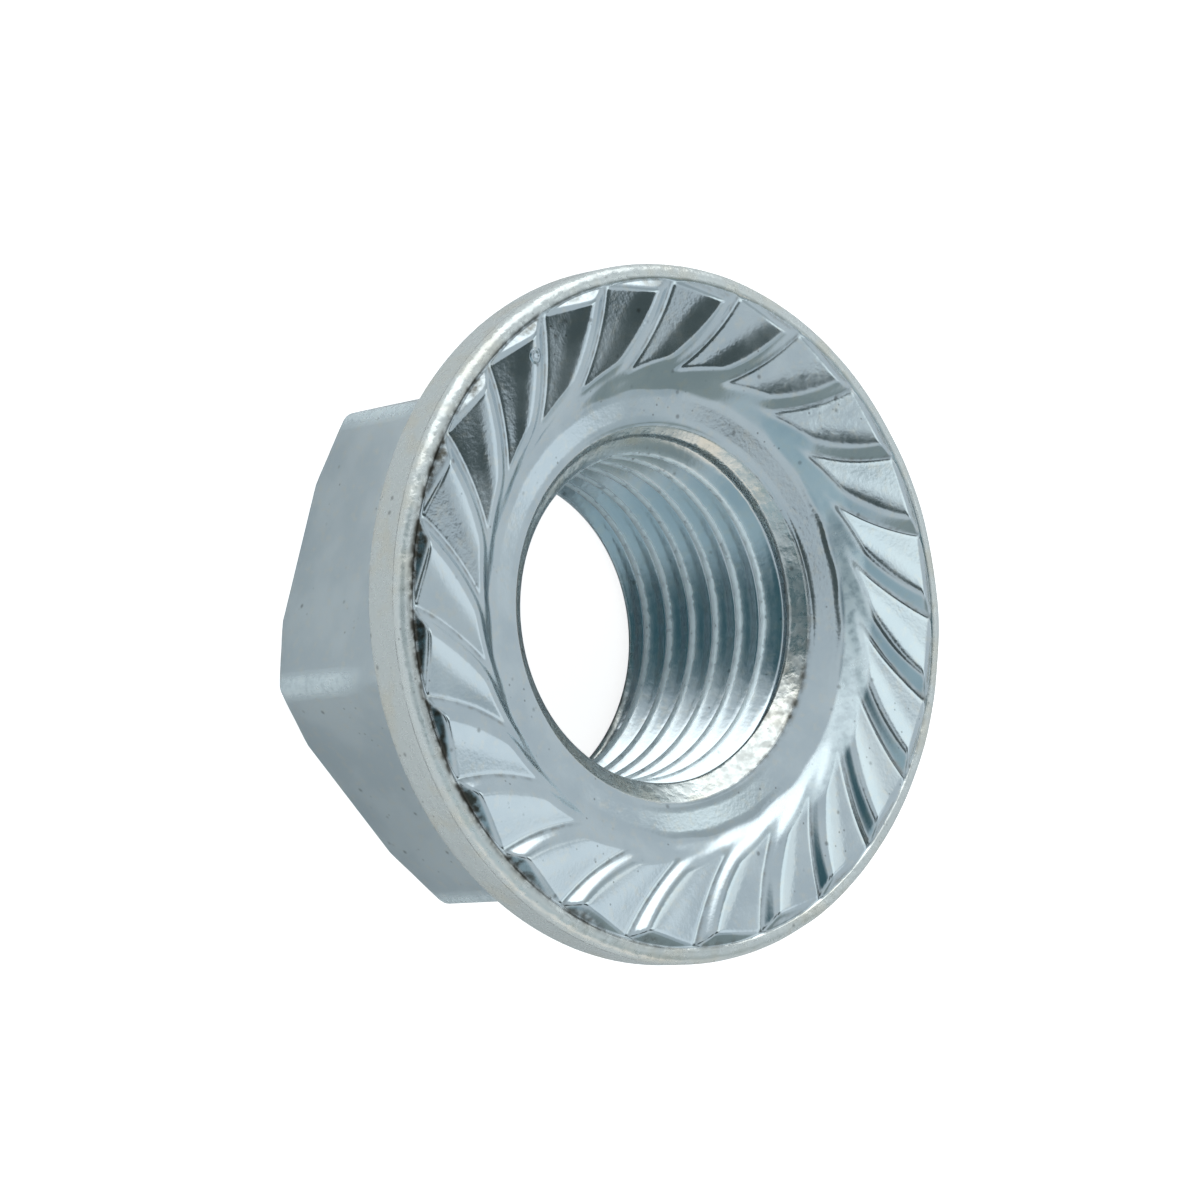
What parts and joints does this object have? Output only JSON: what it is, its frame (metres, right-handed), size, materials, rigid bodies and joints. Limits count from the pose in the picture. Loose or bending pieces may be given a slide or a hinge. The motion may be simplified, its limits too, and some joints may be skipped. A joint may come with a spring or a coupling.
{
  "type": "serrated hexagon flange nut",
  "caption": "Hexagon flange nut with a fine internal thread and ratchet serrations on its dished bearing face, which lock it against the clamped part.",
  "frame": {"origin": "centre of the hexagon's end face, on the thread's axis", "axes": "+Z along the thread's axis, out of the serrated bearing face; +X through a corner of the hexagon, so +Y is square to a pair of flats"},
  "size_m": [0.0232, 0.0232, 0.0108],
  "materials": {
    "zinc_plated_steel": "bright blue-white zinc plating, lightly pitted"
  },
  "bodies": {
    "root": {"flange_nut": "zinc_plated_steel"}
  },
  "joints": []
}
